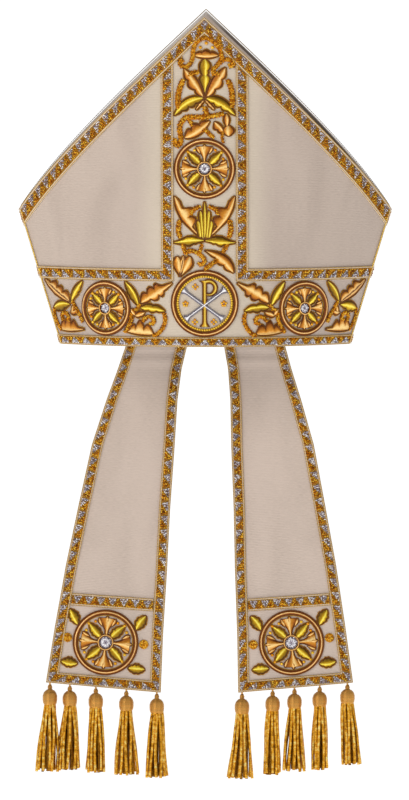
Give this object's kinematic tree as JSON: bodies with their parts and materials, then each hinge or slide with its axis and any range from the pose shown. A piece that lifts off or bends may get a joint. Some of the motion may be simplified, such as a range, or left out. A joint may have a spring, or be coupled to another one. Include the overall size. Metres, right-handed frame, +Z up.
{
  "type": "bishop mitre",
  "caption": "Pale silk bishop's mitre with gold and silver braid, raised goldwork embroidery, and two hanging lappets with tassels.",
  "frame": {"origin": "centre of the opening for the head, in the plane of the rim", "axes": "+Z up, the front horn faces -Y, +X to the right in the picture"},
  "size_m": [0.3436, 0.1992, 0.7118],
  "materials": {
    "silk": "ribbed silk with a soft sheen",
    "gold_and_silver_braid": "woven metal-thread braid",
    "gold_thread": "gold metal thread",
    "rose_gold_thread": "copper-gold satin stitch over padding",
    "lemon_gold_thread": "lemon-gold satin stitch over padding"
  },
  "bodies": {
    "root": {"front_panel": "silk", "back_panel": "silk", "crown_gusset": "silk", "left_lappet": "silk", "right_lappet": "silk", "front_edge_braid": "gold_and_silver_braid", "back_edge_braid": "gold_and_silver_braid", "front_rim_braid": "gold_and_silver_braid", "back_rim_braid": "gold_and_silver_braid", "front_braid_left": "gold_and_silver_braid", "front_braid_right": "gold_and_silver_braid", "back_braid_left": "gold_and_silver_braid", "back_braid_right": "gold_and_silver_braid", "left_lappet_border": "gold_and_silver_braid", "left_lappet_cross_braid": "gold_and_silver_braid", "right_lappet_border": "gold_and_silver_braid", "right_lappet_cross_braid": "gold_and_silver_braid", "side_cord_left": "gold_thread", "side_cord_right": "gold_thread", "back_edge_cord": "gold_thread", "monogram_inner_ring": "gold_thread", "monogram": "gold_thread", "upper_flower": "gold_thread", "left_flower": "gold_thread", "right_flower": "gold_thread", "left_lappet_flower": "gold_thread", "right_lappet_flower": "gold_thread", "left_tassel_1": "gold_thread", "left_tassel_2": "gold_thread", "left_tassel_3": "gold_thread", "left_tassel_4": "gold_thread", "left_tassel_5": "gold_thread", "right_tassel_1": "gold_thread", "right_tassel_2": "gold_thread", "right_tassel_3": "gold_thread", "right_tassel_4": "gold_thread", "right_tassel_5": "gold_thread", "monogram_roundel": "rose_gold_thread", "upper_roundel": "rose_gold_thread", "cap_leaf": "rose_gold_thread", "bud_leaf": "rose_gold_thread", "berry_cluster": "rose_gold_thread", "heart_bud": "rose_gold_thread", "lower_leaf": "rose_gold_thread", "left_roundel": "rose_gold_thread", "left_lappet_roundel": "rose_gold_thread", "left_inner_lobed_leaf": "rose_gold_thread", "left_outer_lobed_leaf": "rose_gold_thread", "right_roundel": "rose_gold_thread", "right_lappet_roundel": "rose_gold_thread", "right_inner_lobed_leaf": "rose_gold_thread", "right_outer_lobed_leaf": "rose_gold_thread", "upper_spray": "lemon_gold_thread", "palm_spray": "lemon_gold_thread", "left_inner_spray": "lemon_gold_thread", "left_outer_spray": "lemon_gold_thread", "right_inner_spray": "lemon_gold_thread", "right_outer_spray": "lemon_gold_thread"}
  },
  "joints": []
}
